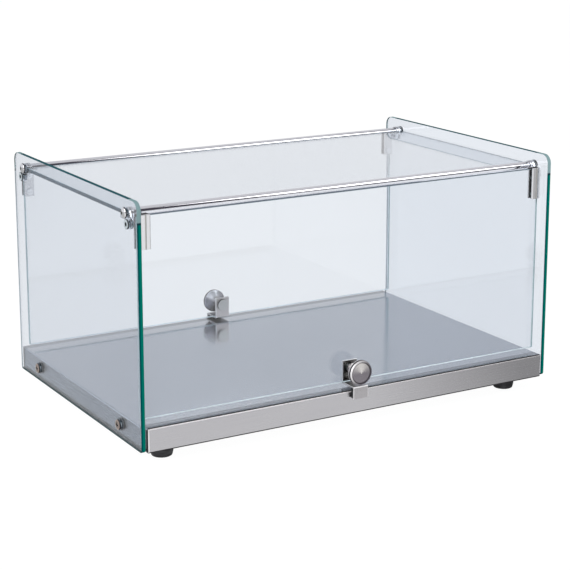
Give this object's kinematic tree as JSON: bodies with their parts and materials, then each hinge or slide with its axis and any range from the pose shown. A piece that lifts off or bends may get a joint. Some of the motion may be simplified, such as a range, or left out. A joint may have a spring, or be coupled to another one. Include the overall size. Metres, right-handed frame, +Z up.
{
  "type": "countertop display case",
  "caption": "Glass countertop display case on a brushed steel base, with a lift-up glass door at the front and rear hung from polished rails.",
  "frame": {"origin": "centre of the footprint on the counter, under the feet", "axes": "+X along the width, -Y towards the front door, +Z up"},
  "size_m": [0.5672, 0.3774, 0.3],
  "materials": {
    "base_steel": "brushed, near-mirror deck with fine grain along the width",
    "galvanised_steel": "dull mill finish",
    "foot_rubber": "moulded, satin",
    "clear_glass": "clear float glass, ground and polished green edges",
    "screw_steel": "turned, slightly warm steel",
    "nylon": "dark nylon",
    "polished_steel": "polished",
    "chrome": "bright plated",
    "knob_steel": "spun face, bright bevelled rim",
    "clip_steel": "brushed",
    "pad_rubber": "soft black sheet"
  },
  "bodies": {
    "case": {"base_shell": "base_steel", "deck_stiffener": "galvanised_steel", "foot_front_left": "foot_rubber", "foot_front_right": "foot_rubber", "foot_rear_left": "foot_rubber", "foot_rear_right": "foot_rubber", "side_glass_left": "clear_glass", "side_glass_right": "clear_glass", "base_screw_front_left": "screw_steel", "glass_spacer_front_left": "nylon", "base_screw_front_right": "screw_steel", "glass_spacer_front_right": "nylon", "base_screw_rear_left": "screw_steel", "glass_spacer_rear_left": "nylon", "base_screw_rear_right": "screw_steel", "glass_spacer_rear_right": "nylon", "rail_front": "polished_steel", "rail_rear": "polished_steel", "rail_bolt_front_left": "polished_steel", "bracket_bolt_front_left": "polished_steel", "corner_bracket_front_left": "chrome", "rail_bolt_front_right": "polished_steel", "bracket_bolt_front_right": "polished_steel", "corner_bracket_front_right": "chrome", "rail_bolt_rear_left": "polished_steel", "bracket_bolt_rear_left": "polished_steel", "corner_bracket_rear_left": "chrome", "rail_bolt_rear_right": "polished_steel", "bracket_bolt_rear_right": "polished_steel", "corner_bracket_rear_right": "chrome", "top_glass": "clear_glass"},
    "door_front": {"door_glass_front": "clear_glass", "knob_front": "knob_steel", "knob_bolt_front": "chrome", "clip_front": "clip_steel", "clamp_outer_front_left": "chrome", "clamp_inner_front_left": "chrome", "clamp_pad_front_left": "pad_rubber", "clamp_screw_lower_front_left": "chrome", "clamp_screw_upper_front_left": "chrome", "clamp_outer_front_right": "chrome", "clamp_inner_front_right": "chrome", "clamp_pad_front_right": "pad_rubber", "clamp_screw_lower_front_right": "chrome", "clamp_screw_upper_front_right": "chrome"},
    "door_rear": {"door_glass_rear": "clear_glass", "knob_rear": "knob_steel", "knob_bolt_rear": "chrome", "clip_rear": "clip_steel", "clamp_outer_rear_left": "chrome", "clamp_inner_rear_left": "chrome", "clamp_pad_rear_left": "pad_rubber", "clamp_screw_lower_rear_left": "chrome", "clamp_screw_upper_rear_left": "chrome", "clamp_outer_rear_right": "chrome", "clamp_inner_rear_right": "chrome", "clamp_pad_rear_right": "pad_rubber", "clamp_screw_lower_rear_right": "chrome", "clamp_screw_upper_rear_right": "chrome"}
  },
  "joints": [
    {"name": "front_door_hinge", "type": "hinge", "parent": "case", "child": "door_front", "pos_m": [0, -0.148, 0.2833], "axis": [-1, 0, 0], "range_deg": [0, 95]},
    {"name": "rear_door_hinge", "type": "hinge", "parent": "case", "child": "door_rear", "pos_m": [0, 0.148, 0.2833], "axis": [1, 0, 0], "range_deg": [0, 95]}
  ]
}
